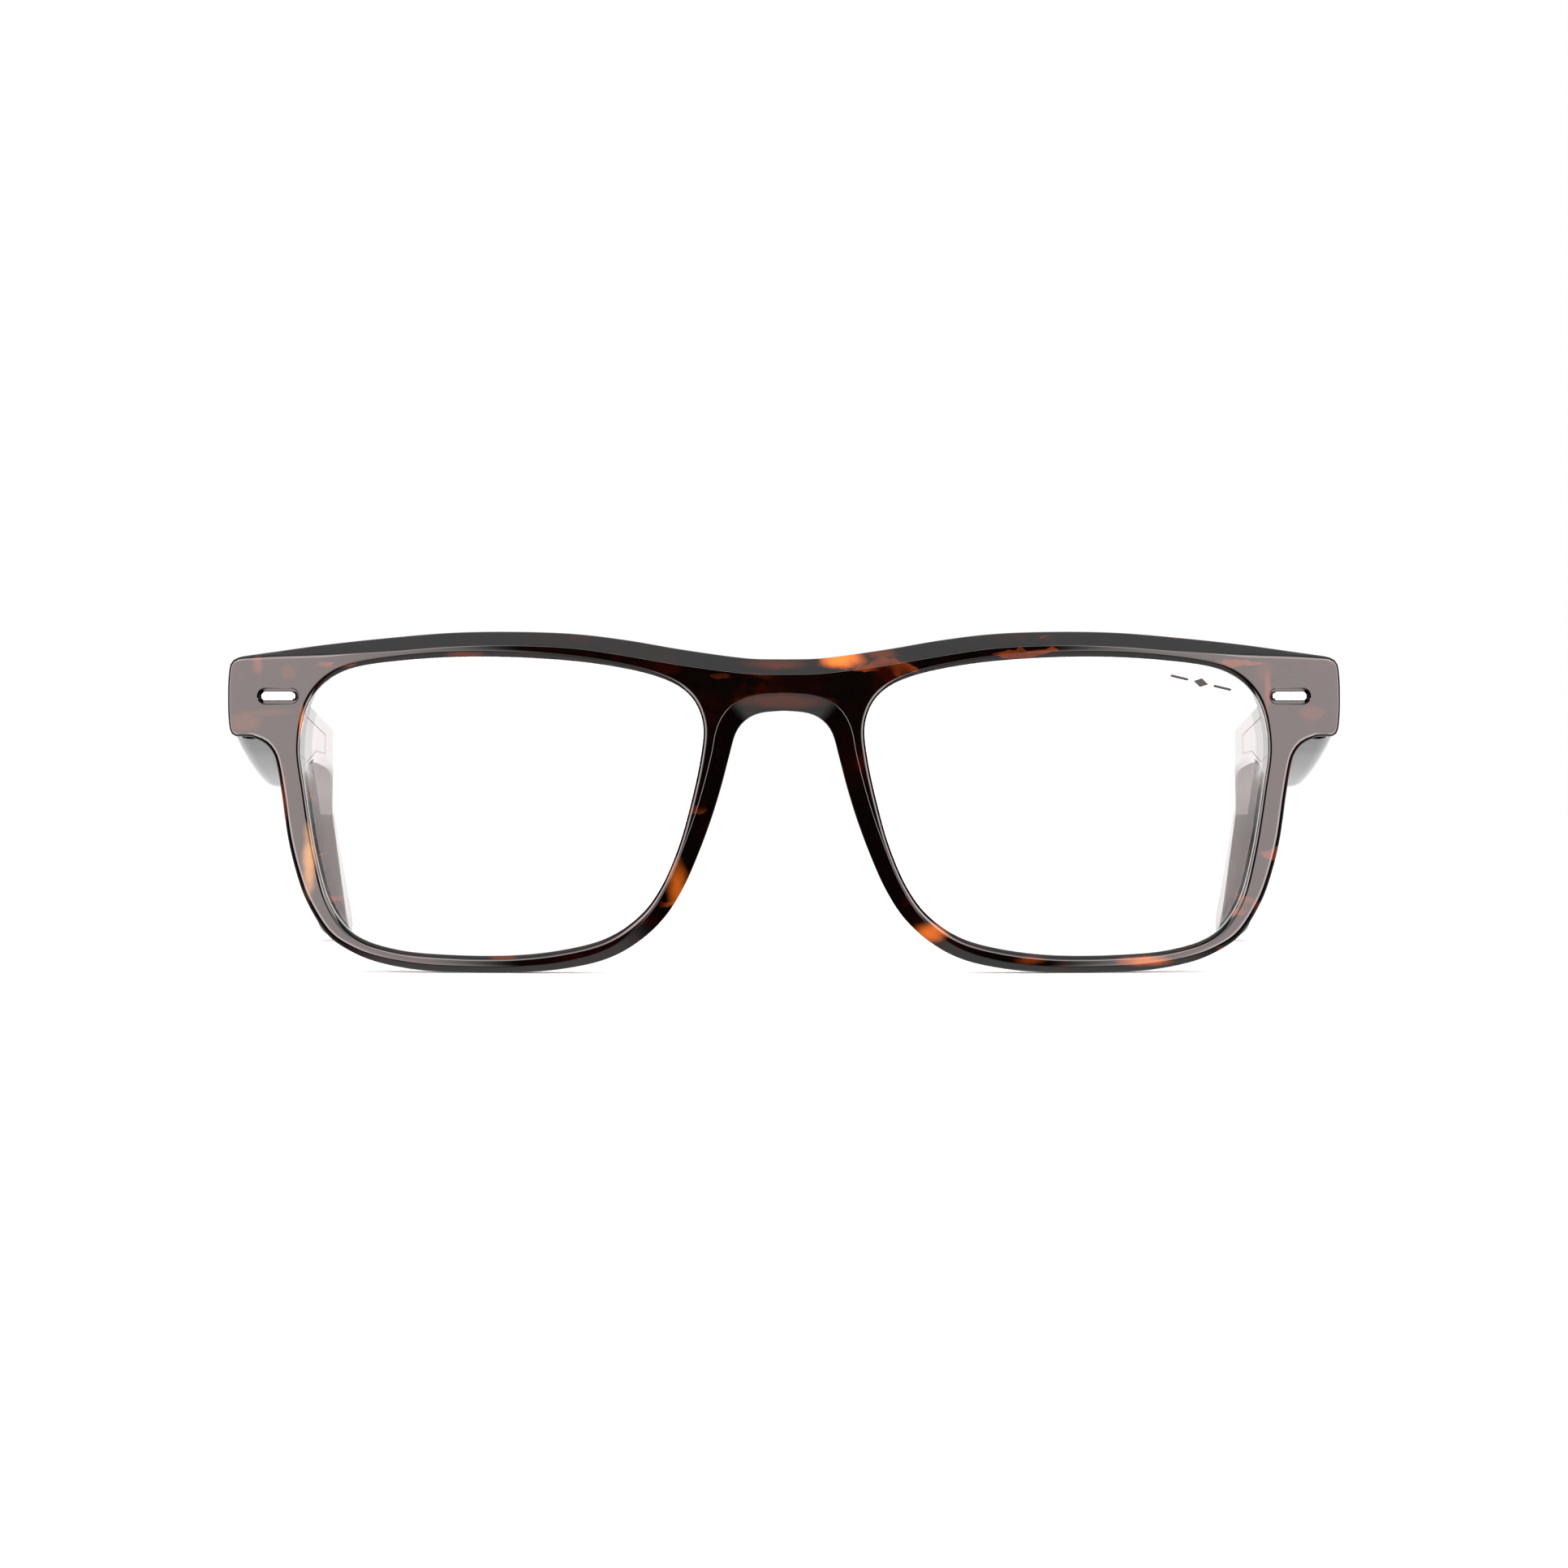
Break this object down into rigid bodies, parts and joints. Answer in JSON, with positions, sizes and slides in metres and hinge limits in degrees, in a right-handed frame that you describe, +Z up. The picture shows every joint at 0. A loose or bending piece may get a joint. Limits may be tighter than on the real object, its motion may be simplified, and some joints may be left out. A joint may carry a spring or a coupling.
{
  "type": "smart glasses",
  "caption": "Rectangular smart glasses with a curved tortoise acetate front, clear lenses, steel plaques and folding temples that hold batteries, boards and speakers.",
  "frame": {"origin": "centre line, at the apex of the front face, level with the bottoms of the rims", "axes": "+Z up, +Y from the front back along the open temples, +X towards the wearer's left"},
  "size_m": [0.1446, 0.1553, 0.0439],
  "materials": {
    "acetate": "tortoise cellulose acetate, polished",
    "cover": "dark polished plastic",
    "lens": "clear, coated",
    "plaque": "mirror polished steel",
    "hinge": "satin, pale gold",
    "steel": "satin",
    "core": "dark",
    "battery": "foil pouch",
    "board": "solder resist",
    "electronics": "moulded packages",
    "copper": "gold plated copper",
    "light": "translucent"
  },
  "bodies": {
    "front": {"front_frame": "acetate", "lens_right": "lens", "lens_left": "lens", "plaque_right": "plaque", "plaque_left": "plaque", "front_hinge_right": "hinge", "front_hinge_left": "hinge", "hinge_screw_right": "steel", "hinge_screw_left": "steel"},
    "right_temple": {"temple_hinge_right": "hinge", "temple_shell_right": "acetate", "temple_cover_right": "cover", "temple_core_right": "core", "battery_right": "battery", "microphone_right": "electronics", "speaker_right": "electronics", "speaker_mesh_right": "steel", "touch_pad_right": "copper", "antenna_right": "copper", "flex_cable_right": "copper", "main_board_right": "board", "processor_right": "electronics", "memory_chip_right": "electronics", "motion_sensor_right": "electronics", "dome_switch_right": "steel"},
    "left_temple": {"temple_hinge_left": "hinge", "temple_shell_left": "acetate", "temple_cover_left": "cover", "temple_core_left": "core", "battery_left": "battery", "microphone_left": "electronics", "speaker_left": "electronics", "speaker_mesh_left": "steel", "touch_pad_left": "copper", "antenna_left": "copper", "flex_cable_left": "copper", "power_board_left": "board", "radio_module_left": "electronics", "charge_chip_left": "electronics", "slide_switch_left": "steel", "charging_contacts_left": "copper", "case_magnet_left": "steel", "status_light_left": "light", "status_led_left": "light"},
    "button": {"control_button": "cover"},
    "power_switch": {"power_switch_knob": "cover"}
  },
  "joints": [
    {"name": "right_temple_fold", "type": "hinge", "parent": "front", "child": "right_temple", "pos_m": [-0.0665, 0.02142, 0.0349], "axis": [0, -0.0732, -0.9973], "range_deg": [0, 93]},
    {"name": "left_temple_fold", "type": "hinge", "parent": "front", "child": "left_temple", "pos_m": [0.0665, 0.02142, 0.0349], "axis": [0, 0.0732, 0.9973], "range_deg": [0, 87]},
    {"name": "button_press", "type": "slide", "parent": "right_temple", "child": "button", "axis": [0, -0.0732, -0.9973], "range_m": [0, 0.0003], "stiffness_N_per_m": 400, "springref_m": -0.0005},
    {"name": "power_switch_slide", "type": "slide", "parent": "left_temple", "child": "power_switch", "axis": [0, 0.9973, -0.0732], "range_m": [0, 0.002]}
  ]
}
